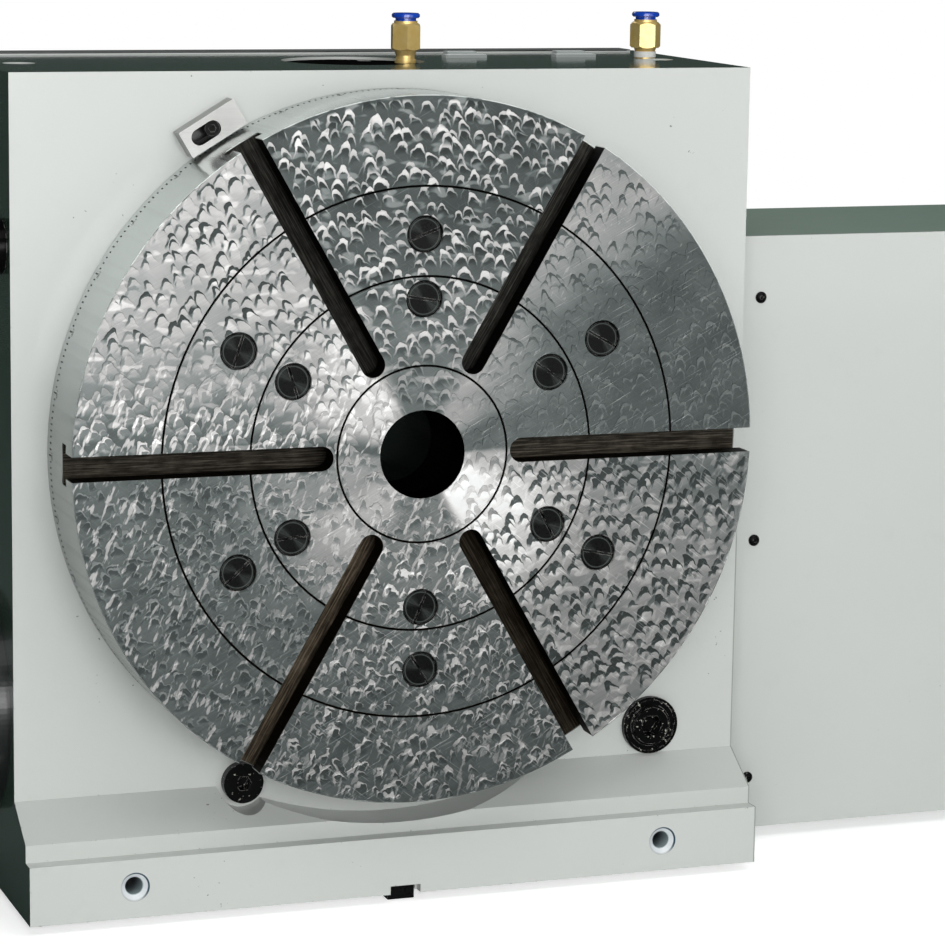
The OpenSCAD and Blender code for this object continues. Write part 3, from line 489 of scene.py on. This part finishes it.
def painted(name, colour, peel, chips, edge, dark_colour=None, foot_colour=None):
    """Gloss machine paint with orange peel, faint dirt and chipped edges."""
    net = Net(name)
    blotch = net.noise(9.0, 3.0)
    smudge = net.noise(45.0, 5.0, 0.65)
    base = net.mix(blotch, tuple(c * 0.965 for c in colour), tuple(min(1.0, c * 1.02) for c in colour))
    rough = 0.28 + smudge * 0.10
    if dark_colour:
        # Two-tone paint, with painted shade behind the zero block's slot, in a seam and in the tapped holes
        base, dark = two_tone(net, base, blotch, dark_colour)
        base = tapped_holes(net, base)
        rough = rough - dark * 0.20
    if foot_colour:
        # The foot of the front edge of the strip on the top is left in another colour
        z = net.axes()[2]
        along = net.axes(net.facing)[1]
        foot = (net.ramp(z, HOUSE_TOP, HOUSE_TOP + 0.0001) * net.ramp(z, HOUSE_TOP + 0.0010, HOUSE_TOP + 0.0008)
                * net.ramp(along, -0.90, -0.94))
        base = net.mix(foot, base, foot_colour)
    base = net.mix(net.ramp(smudge, 0.58, 0.78) * 0.08, base, (0.36, 0.37, 0.34))
    flecks = net.noise(420.0, 2.0, 0.5) * 0.7 + net.noise(14.0, 2.0) * 0.3
    base = net.mix(net.ramp(flecks, 0.705, 0.725) * chips, base, (0.10, 0.10, 0.09))
    chip = net.edge_wear(edge) * net.ramp(net.noise(260.0, 4.0, 0.7), 0.62, 0.66) * chips
    base = net.mix(chip, base, (0.09, 0.09, 0.08))
    orange_peel = net.noise(330.0, 2.0, 0.4)
    normal = net.bump(orange_peel * 0.5 - chip * 0.6, 0.00012 * peel, 0.5)
    return net.finish(Base_Color=base, Roughness=rough + chip * 0.3, Normal=normal, Coat_Weight=0.35,
                      Coat_Roughness=0.08, Metallic=0.0)


# ---------------------------------------------------------------- metals

def dirt_in_slot(net, shade):
    """Painted shade inside the zero block's slot, which runs across the way out from the plate's centre."""
    x, y, z = net.axes()
    far = math.hypot(SCREW_X, SCREW_Z)
    out_x, out_z = SCREW_X / far, SCREW_Z / far
    outward = (x - SCREW_X) * out_x + (z - SCREW_Z) * out_z
    sideways = (z - SCREW_Z) * out_x - (x - SCREW_X) * out_z
    inside = net.ramp(abs(outward), 0.0052, 0.0048) * net.ramp(abs(sideways - 0.0045), 0.0102, 0.0096)
    return shade * (1.0 - inside * net.ramp(y, BLOCK_FRONT + 0.0003, BLOCK_FRONT + 0.0007) * 0.96)


def machined(name, tone, roughness, axis="Y", bore_shade_radius=None, shaded_slot=False):
    """Turned or ground steel: fine marks across one axis, faint stains, bright worn edges, and painted shade in
    a bore or a slot where asked.
    """
    net = Net(name)
    fine = net.noise(1100.0, 3.0, 0.6, stretch=tuple(1.0 if letter == axis else 0.04 for letter in "XYZ"))
    stain = net.noise(35.0, 4.0, 0.6)
    shade = tone * (0.78 + stain * 0.35) * (1.0 + (fine - 0.5) * 0.35)
    shade = shade + net.edge_wear(0.0006) * 0.18
    if bore_shade_radius:
        # Painted shade: inside this radius round the axis the metal is darkened to near black
        x, y, z = net.axes()
        shade = shade * net.ramp(net.length(x, z), bore_shade_radius, bore_shade_radius + 0.0005, 0.04, 1.0)
    if shaded_slot:
        # Painted shade in the zero block's slot
        shade = dirt_in_slot(net, shade)
    base = net.mix(shade.clamp(), (0.0, 0.0, 0.0), (1.0, 0.99, 0.97))
    rough = roughness + (fine - 0.5) * 0.18 + (stain - 0.5) * 0.15
    normal = net.bump(fine, 0.00004, 0.6)
    return net.finish(Base_Color=base, Roughness=rough, Normal=normal, Metallic=1.0)


def turned_plugs(net, base):
    """Painted fans of sheen and painted highlights on the lips of the plate's screw plugs."""
    x, y, z = net.axes()
    mm_x, mm_z = x * 1000.0, z * 1000.0
    turn = net.math("ARCTAN2", mm_z, mm_x)
    radius = net.length(mm_x, mm_z)
    # The plate folded into one sixth, where the plugs lie on its middle line
    folded = net.math("WRAP", turn, math.pi / 3, 0.0)
    u = radius * net.math("COSINE", folded)
    v = radius * net.math("SINE", folded)
    fan_sheen, lip_highlight = 0.0, 0.0
    for ring in PLUG_RINGS_MM:
        from_u = u - ring * math.cos(math.pi / 6)
        from_v = v - ring * math.sin(math.pi / 6)
        around = net.math("ARCTAN2", from_v, from_u) + turn - folded
        distance = net.length(from_u, from_v)
        lip_highlight = lip_highlight + net.ramp(distance, 8.1, 8.4) * net.ramp(distance, 9.0, 8.7)
        wave = net.math("COSINE", around * 2.0 + net.noise(60.0, 1.0) * 2.5).max(0.0)
        glow = net.math("POWER", wave, 3.0) * net.ramp(distance, 10.2, 9.8)
        thin = net.noise(1.0, 3.0, 0.7, vector=net.vector(around * 9.0, radius * 0.02, 0.0))
        fan_sheen = fan_sheen + glow * (0.4 + net.ramp(thin, 0.4, 0.7) * 0.6)
    base = net.mix((fan_sheen * 0.34).clamp(), base, (0.11, 0.13, 0.12))
    return net.mix(lip_highlight * 0.5, base, (0.10, 0.12, 0.11))


def blackened(name, tone, roughness):
    """Oiled black plugs and screws, with edges rubbed to bare metal, dust in patches, and painted sheen and
    highlights on the plate's plugs.
    """
    net = Net(name)
    grain = net.noise(600.0, 3.0, 0.6)
    patch = net.noise(70.0, 4.0, 0.6)
    dark = (tone, tone, tone * 1.05)
    base = net.mix(patch, tuple(c * 0.6 for c in dark), tuple(c * 1.6 for c in dark))
    rough = roughness + (grain - 0.5) * 0.2 + patch * 0.12
    # Painted sheen and highlights on the plate's screw plugs
    base = turned_plugs(net, base)
    # Paint specks on the oil plugs, which lie low and outside the plate
    x, y, z = net.axes()
    low = (net.ramp(z, -0.12, -0.13) * net.ramp(z, -0.235, -0.230)
           * net.ramp(net.length(x, z), PLATE_R, PLATE_R + 0.010))
    speck = net.ramp(net.noise(480.0, 2.0, 0.6), 0.665, 0.69) * low
    base = net.mix(speck * 0.8, base, (0.55, 0.55, 0.48))
    rough = rough - low * 0.14
    wear = net.edge_wear(0.0006) * net.ramp(net.noise(240.0, 3.0, 0.7), 0.42, 0.62)
    base = net.mix(wear * 0.7, base, (0.42, 0.41, 0.39))
    normal = net.bump(grain, 0.00005, 0.5)
    return net.finish(Base_Color=base, Roughness=rough, Normal=normal, Metallic=0.0, Specular_IOR_Level=0.10)


def brass():
    """Bright machined brass with turning marks and slight tarnish."""
    net = Net("fitting_brass")
    fine = net.noise(900.0, 2.0, 0.5, stretch=(0.1, 0.1, 1.0))
    stain = net.noise(160.0, 4.0, 0.6)
    base = net.mix(stain, (0.80, 0.50, 0.10), (1.0, 0.78, 0.36))
    wear = net.edge_wear(0.0007)
    base = net.mix(wear * 0.6, base, (0.95, 0.80, 0.45))
    rough = 0.24 + fine * 0.12 + stain * 0.10
    return net.finish(Base_Color=base, Roughness=rough, Normal=net.bump(fine, 0.00004, 0.4), Metallic=0.55)


def cast_iron(name, tone):
    """Rough cast metal in dark patches."""
    net = Net(name)
    grit = net.noise(500.0, 4.0, 0.7)
    patch = net.noise(40.0, 3.0)
    shade = tone * (0.7 + patch * 0.6)
    base = net.mix(shade.clamp(), (0.0, 0.0, 0.0), (1.0, 0.96, 0.92))
    normal = net.bump(grit, 0.0003, 0.6)
    return net.finish(Base_Color=base, Roughness=0.45 + grit * 0.2, Normal=normal, Metallic=0.9)


def bronze():
    """Turned bronze of the worm wheel."""
    net = Net("wheel_bronze")
    fine = net.noise(900.0, 3.0, 0.6, stretch=(1.0, 0.05, 1.0))
    patch = net.noise(50.0, 3.0)
    base = net.mix(patch, (0.42, 0.22, 0.07), (0.66, 0.40, 0.16))
    normal = net.bump(fine, 0.00005, 0.5)
    return net.finish(Base_Color=base, Roughness=0.25 + fine * 0.2, Normal=normal, Metallic=1.0)


# ---------------------------------------------------------------- plastic, tape, rubber, glass and sheet

def blue_plastic():
    """Glossy plastic of the fittings' release collars."""
    net = Net("blue_plastic")
    grain = net.noise(800.0, 2.0)
    patch = net.noise(120.0, 3.0)
    base = net.mix(patch, (0.004, 0.040, 0.40), (0.010, 0.085, 0.62))
    normal = net.bump(grain, 0.00003, 0.4)
    return net.finish(Base_Color=base, Roughness=0.12 + patch * 0.10, Normal=normal, Coat_Weight=0.5)


def white_tape():
    """Wound thread tape: thin wraps with wrinkles."""
    net = Net("white_tape")
    wraps = net.noise(1600.0, 2.0, 0.6, stretch=(0.1, 0.1, 1.0))
    folds = net.noise(500.0, 4.0, 0.7)
    base = net.mix(folds, (0.70, 0.70, 0.67), (0.90, 0.90, 0.88))
    normal = net.bump(wraps * 0.6 + folds * 0.5, 0.0003, 0.8)
    return net.finish(Base_Color=base, Roughness=0.5 + folds * 0.2, Normal=normal)


def rubber():
    """Dull black rubber of the seals."""
    net = Net("seal_rubber")
    grain = net.noise(900.0, 4.0, 0.7)
    base = net.mix(grain, (0.012, 0.012, 0.012), (0.035, 0.034, 0.033))
    return net.finish(Base_Color=base, Roughness=0.55 + grain * 0.2, Normal=net.bump(grain, 0.0001, 0.5))


def oil_glass():
    """Sight glass with yellow oil behind it."""
    net = Net("sight_glass")
    swirl = net.noise(90.0, 2.0)
    base = net.mix(swirl, (0.75, 0.60, 0.22), (0.85, 0.74, 0.38))
    return net.finish(Base_Color=base, Roughness=0.04 + swirl * 0.04, Transmission_Weight=0.7, IOR=1.5)


def recessed_cover():
    """Matt black sheet, sunk in the top."""
    net = Net("recessed_cover")
    dust = net.noise(120.0, 4.0, 0.6)
    base = net.mix(dust, (0.001, 0.001, 0.001), (0.006, 0.007, 0.006))
    normal = net.bump(dust, 0.00005, 0.4)
    return net.finish(Base_Color=base, Roughness=0.9, Normal=normal, Specular_IOR_Level=0.0)


def tab_sheet():
    """Bright brushed sheet with painted shade on its front-facing side."""
    net = Net("tab_sheet")
    along = net.axes(net.facing)[1]
    brushed = net.noise(300.0, 3.0, 0.6, stretch=(0.2, 1.0, 1.0))
    base = net.mix(brushed, (0.62, 0.66, 0.66), (0.85, 0.88, 0.88))
    # Painted shade: the side facing the front is darker
    base = net.mix(net.ramp(along, -0.6, -0.8), base, (0.30, 0.33, 0.32))
    return net.finish(Base_Color=base, Roughness=0.35 + brushed * 0.1, Normal=net.bump(brushed, 0.00005, 0.4))


# ---------------------------------------------------------------- finishes on the CAD parts

WHITE = (0.565, 0.585, 0.565)
DARK_GREEN = (0.034, 0.060, 0.044)
GREY_GREEN = (0.270, 0.380, 0.310)
BLACK = (0.010, 0.012, 0.012)

# One material for each material slot of the record
finishes = {
    "cast_paint": painted("cast_paint", WHITE, peel=1.3, chips=0.8, edge=0.002, dark_colour=DARK_GREEN),
    "sheet_paint": painted("sheet_paint", WHITE, peel=0.7, chips=0.25, edge=0.0006),
    "green_paint": painted("green_paint", GREY_GREEN, peel=0.7, chips=0.25, edge=0.0006),
    "black_paint": painted("black_paint", BLACK, peel=0.8, chips=0.3, edge=0.0008, foot_colour=WHITE),
    "black_plastic": blackened("black_plastic", 0.003, 0.12),
    "black_oxide": blackened("black_oxide", 0.004, 0.22),
    "dark_steel": machined("dark_steel", 0.26, 0.34),
    "gear_iron": cast_iron("gear_iron", 0.22),
    "scraped_iron": scraped_iron(),
    "ground_steel": machined("ground_steel", 0.55, 0.22, bore_shade_radius=0.027),
    "satin_steel": machined("satin_steel", 0.40, 0.38, axis="Z", shaded_slot=True),
    "seal_rubber": rubber(),
    "sight_glass": oil_glass(),
    "fitting_brass": brass(),
    "white_tape": white_tape(),
    "blue_plastic": blue_plastic(),
    "wheel_bronze": bronze(),
    "motor_alloy": cast_iron("motor_alloy", 0.10),
}

# Two pieces on the top look unlike the rest of their slot
own_finish = {"top_cover": recessed_cover(), "top_tabs": tab_sheet()}

slot_of = {part["node"]: part["material_slot"] for part in frame["record"]["subparts"]}

# Width of the small bevel on a part's sharp edges, in mm
BEVELS_MM = {
    "housing": 2.2, "zero_block": 0.5, "motor_box": 0.5, "motor_box_panel": 0.5, "faceplate": 0.25,
    "air_fittings": 0.4, "left_release_collar": 1.0, "right_release_collar": 1.0, "bolt_plugs": 0.4,
    "oil_fill_plug": 0.6, "oil_drain_plug": 0.6, "top_tabs": 0.5, "rear_strip": 0.4, "top_cover": 0.4,
    "worm_end_cover": 0.8, "side_sight_glass": 0.5, "base_keys": 0.4, "cable_glands": 0.5,
    "rear_bearing_carrier": 0.6, "rear_cover": 0.4,
}


def round_edges(piece, width_mm):
    bevel = piece.modifiers.new("edges", "BEVEL")
    bevel.width = width_mm * MM
    bevel.segments = 3
    bevel.limit_method = "ANGLE"
    bevel.angle_limit = math.radians(40.0)
    bevel.harden_normals = True
    bevel.use_clamp_overlap = True


for name, node in NODES.items():
    node.data.materials.clear()
    node.data.materials.append(own_finish.get(name, finishes[slot_of[name]]))
    for polygon in node.data.polygons:
        polygon.use_smooth = False
    if name in BEVELS_MM:
        round_edges(node, BEVELS_MM[name])


# ---------------------------------------------------------------- graduations on the plate's side

def mesh_piece(name, build, material, body):
    """A new piece from a bmesh function, riding on a body."""
    mesh = bpy.data.meshes.new(name)
    grid = bmesh.new()
    build(grid)
    bmesh.ops.recalc_face_normals(grid, faces=grid.faces)
    grid.to_mesh(mesh)
    grid.free()
    piece = bpy.data.objects.new(name, mesh)
    bpy.context.scene.collection.objects.link(piece)
    mesh.materials.append(material)
    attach(piece, body)


# Strokes of the ten digits on a grid 2 wide and 4 high
DIGITS = {
    "0": [(0, 0, 2, 0), (2, 0, 2, 4), (2, 4, 0, 4), (0, 4, 0, 0)],
    "1": [(1, 0, 1, 4), (0, 3, 1, 4)],
    "2": [(0, 4, 2, 4), (2, 4, 2, 2), (2, 2, 0, 0), (0, 0, 2, 0)],
    "3": [(0, 4, 2, 4), (2, 4, 2, 0), (2, 0, 0, 0), (0.6, 2, 2, 2)],
    "4": [(0, 4, 0, 2), (0, 2, 2, 2), (2, 4, 2, 0)],
    "5": [(2, 4, 0, 4), (0, 4, 0, 2), (0, 2, 2, 2), (2, 2, 2, 0), (2, 0, 0, 0)],
    "6": [(2, 4, 0, 4), (0, 4, 0, 0), (0, 0, 2, 0), (2, 0, 2, 2), (2, 2, 0, 2)],
    "7": [(0, 4, 2, 4), (2, 4, 1, 0)],
    "8": [(0, 0, 2, 0), (2, 0, 2, 4), (2, 4, 0, 4), (0, 4, 0, 0), (0, 2, 2, 2)],
    "9": [(0, 0, 2, 0), (2, 0, 2, 4), (2, 4, 0, 4), (0, 4, 0, 2), (0, 2, 2, 2)],
}


# Sizes of the scale, in mm
TICK_LENGTHS = {10: 3.6, 5: 2.7, 1: 1.8}
TICK_WIDTH = 0.9
TICKS_FROM_REAR = 8.6
DIGIT_CELL = 0.52
DIGIT_STROKE = 0.26
DIGIT_GAP = 1.6
LIFT = 0.04


def graduations(grid):
    """Degree ticks and numbers wrapped around the plate's side, a hair above it."""
    reach = PLATE_R + LIFT * MM

    def wrapped(angle, shift, y):
        """A point on the side, shifted around it in metres from an angle."""
        turn = angle + shift / PLATE_R
        return Vector((math.cos(turn) * reach, y, math.sin(turn) * reach))

    def stroke(angle, first, second, width):
        a, b = Vector(first), Vector(second)
        across = (b - a).orthogonal().normalized() * width / 2
        along = (b - a).normalized() * width / 2
        corners = (a - along - across, b + along - across, b + along + across, a - along + across)
        grid.faces.new([grid.verts.new(wrapped(angle, c.x, c.y)) for c in corners])

    def number(angle, word, top_y):
        """Digits side by side, each 2 cells wide and 4 high with 1 between them."""
        cell = DIGIT_CELL * MM
        start = -(len(word) * 3 - 1) * cell / 2
        for index, digit in enumerate(word):
            left = start + index * 3 * cell
            for x0, y0, x1, y1 in DIGITS[digit]:
                stroke(angle, (left + x0 * cell, top_y - (4 - y0) * cell),
                       (left + x1 * cell, top_y - (4 - y1) * cell), DIGIT_STROKE * MM)

    tick_y = PLATE_T - TICKS_FROM_REAR * MM
    for degree in range(360):
        angle = math.radians(degree)
        length = next(length for step, length in TICK_LENGTHS.items() if degree % step == 0)
        stroke(angle, (0.0, tick_y), (0.0, tick_y + length * MM), TICK_WIDTH * MM)
        if degree % 10 == 0:
            number(angle, str(degree), tick_y - DIGIT_GAP * MM)


def ink():
    """Dark, slightly worn fill of the scale's lines."""
    net = Net("ink")
    worn = net.noise(300.0, 3.0)
    return net.finish(Base_Color=net.mix(worn, (0.012, 0.014, 0.014), (0.05, 0.055, 0.05)),
                      Roughness=0.5 + worn * 0.1)


mesh_piece("graduations", graduations, ink(), "table")


# ---------------------------------------------------------------- floor, light and camera

FLOOR_HALF = 2.3


def floor_material():
    """Pale to the camera, and dark to reflections, so that little of its light is seen in the object."""
    net = Net("floor")
    pale = net.mix(net.noise(3.0, 2.0), (0.86, 0.87, 0.86), (0.90, 0.90, 0.90))
    path = net.tree.nodes.new("ShaderNodeLightPath")
    seen = Value(net, path.outputs["Is Camera Ray"])
    base = net.mix(Value(net, path.outputs["Is Glossy Ray"]), pale, (0.08, 0.11, 0.10))
    # It fades into the white of the backdrop
    x, y, z = net.axes()
    glow = net.ramp(net.length(x, y), 0.5, 1.7, 0.6, 1.0)
    return net.finish(Base_Color=base, Roughness=0.6, Emission_Color=(1.0, 1.0, 1.0, 1.0),
                      Emission_Strength=seen * glow)


def stage_floor():
    mesh = bpy.data.meshes.new("floor")
    corners = [(x * FLOOR_HALF, y * FLOOR_HALF, FLOOR_Z) for x, y in ((-1, -1), (1, -1), (1, 1), (-1, 1))]
    mesh.from_pydata(corners, [], [(0, 1, 2, 3)])
    mesh.materials.append(floor_material())
    floor = bpy.data.objects.new("floor", mesh)
    bpy.context.scene.collection.objects.link(floor)


stage_floor()


def area_light(name, at, target, size, power):
    """A rectangular lamp facing a target; size in metres, power in watts."""
    light = bpy.data.lights.new(name, "AREA")
    light.shape = "RECTANGLE"
    light.size, light.size_y = size
    light.energy = power
    lamp = bpy.data.objects.new(name, light)
    lamp.location = at
    lamp.rotation_mode = "QUATERNION"
    lamp.rotation_quaternion = (Vector(target) - Vector(at)).to_track_quat("-Z", "Y")
    bpy.context.scene.collection.objects.link(lamp)


area_light("key", at=(-0.6, -2.7, 0.50), target=(0.05, 0.0, -0.12), size=(2.2, 1.1), power=47.0)
area_light("overhead", at=(0.1, -1.0, 1.75), target=(0.1, 0.05, -0.1), size=(2.6, 1.2), power=20.5)
area_light("card", at=(0.9, -2.7, 0.12), target=(0.1, 0.0, -0.12), size=(2.8, 0.9), power=14.0)
area_light("back", at=(0.5, 2.3, 2.0), target=(0.0, 0.1, 0.0), size=(2.0, 1.2), power=22.0)


def surroundings():
    """White behind the object for the camera, a dim grey-green room for light and reflections."""
    world = bpy.data.worlds.new("room")
    bpy.context.scene.world = world
    world.use_nodes = True
    tree = world.node_tree
    tree.nodes.clear()
    output = tree.nodes.new("ShaderNodeOutputWorld")
    mix = tree.nodes.new("ShaderNodeMixShader")
    path = tree.nodes.new("ShaderNodeLightPath")
    room = tree.nodes.new("ShaderNodeBackground")
    white = tree.nodes.new("ShaderNodeBackground")
    room.inputs["Color"].default_value = (0.10, 0.135, 0.12, 1.0)
    room.inputs["Strength"].default_value = 0.4
    white.inputs["Color"].default_value = (1.0, 1.0, 1.0, 1.0)
    white.inputs["Strength"].default_value = 1.0
    tree.links.new(path.outputs["Is Camera Ray"], mix.inputs[0])
    tree.links.new(room.outputs[0], mix.inputs[1])
    tree.links.new(white.outputs[0], mix.inputs[2])
    tree.links.new(mix.outputs[0], output.inputs[0])


surroundings()
bpy.context.scene.view_settings.view_transform = "Standard"


# The photograph's view: angles in degrees, lengths in metres, the lens in mm
CAMERA_AZIMUTH = -20.06
CAMERA_ELEVATION = 10.0
CAMERA_ROLL = 0.87
CAMERA_DISTANCE = 1.9537
CAMERA_AIM = Vector((0.0298, 0.0, -0.0116))
CAMERA_LENS = 132.6


def camera():
    """A long lens to the left of the table's axis and a little above it."""
    azimuth, elevation = math.radians(CAMERA_AZIMUTH), math.radians(CAMERA_ELEVATION)
    back = Vector((math.sin(azimuth) * math.cos(elevation), -math.cos(azimuth) * math.cos(elevation),
                   math.sin(elevation)))
    data = bpy.data.cameras.new("camera")
    data.sensor_width = 36.0
    data.lens = CAMERA_LENS
    data.clip_start, data.clip_end = 0.1, 60.0
    eye = bpy.data.objects.new("camera", data)
    turn = (-back).to_track_quat("-Z", "Y").to_matrix().to_4x4()
    roll = Matrix.Rotation(math.radians(CAMERA_ROLL), 4, "Z")
    eye.matrix_world = Matrix.Translation(CAMERA_AIM + back * CAMERA_DISTANCE) @ turn @ roll
    bpy.context.scene.collection.objects.link(eye)
    bpy.context.scene.camera = eye


camera()
